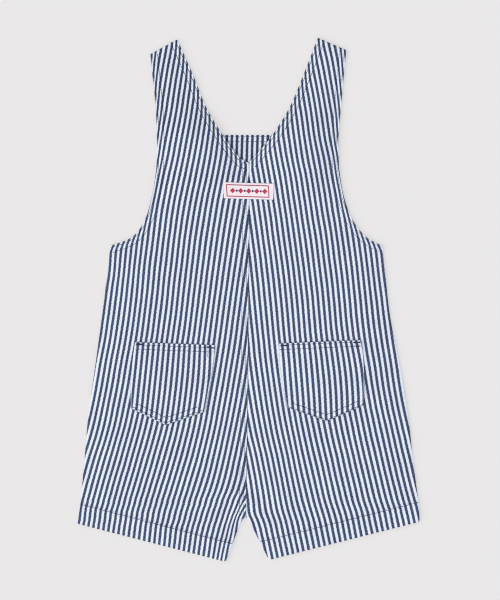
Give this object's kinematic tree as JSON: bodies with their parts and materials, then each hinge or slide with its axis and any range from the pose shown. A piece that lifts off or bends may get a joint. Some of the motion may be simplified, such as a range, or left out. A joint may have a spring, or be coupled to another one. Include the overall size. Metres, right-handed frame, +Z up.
{
  "type": "toddler's short dungarees, laid flat with the back up",
  "caption": "Short bib dungarees in striped cotton, laid flat on the front, with a V-neck back, patch pockets, wide leg hems and straps buttoned to the bib.",
  "frame": {"origin": "on the surface that the garment lies on, below the middle of its outline", "axes": "+Y from the hems to the shoulders, +X to the right as seen from above, +Z up, out of the back"},
  "size_m": [0.3248, 0.4962, 0.0077],
  "materials": {
    "striped_cotton": "woven cotton ticking, blue and white stripes, matt",
    "label_tape": "woven tape, soft sheen",
    "button_resin": "moulded and tumbled, semi-gloss"
  },
  "bodies": {
    "root": {"back_left": "striped_cotton", "back_right": "striped_cotton", "front_left": "striped_cotton", "front_right": "striped_cotton", "bib": "striped_cotton", "strap_left": "striped_cotton", "strap_right": "striped_cotton", "pocket_left": "striped_cotton", "pocket_right": "striped_cotton", "label": "label_tape", "button_left": "button_resin", "button_right": "button_resin"}
  },
  "joints": []
}
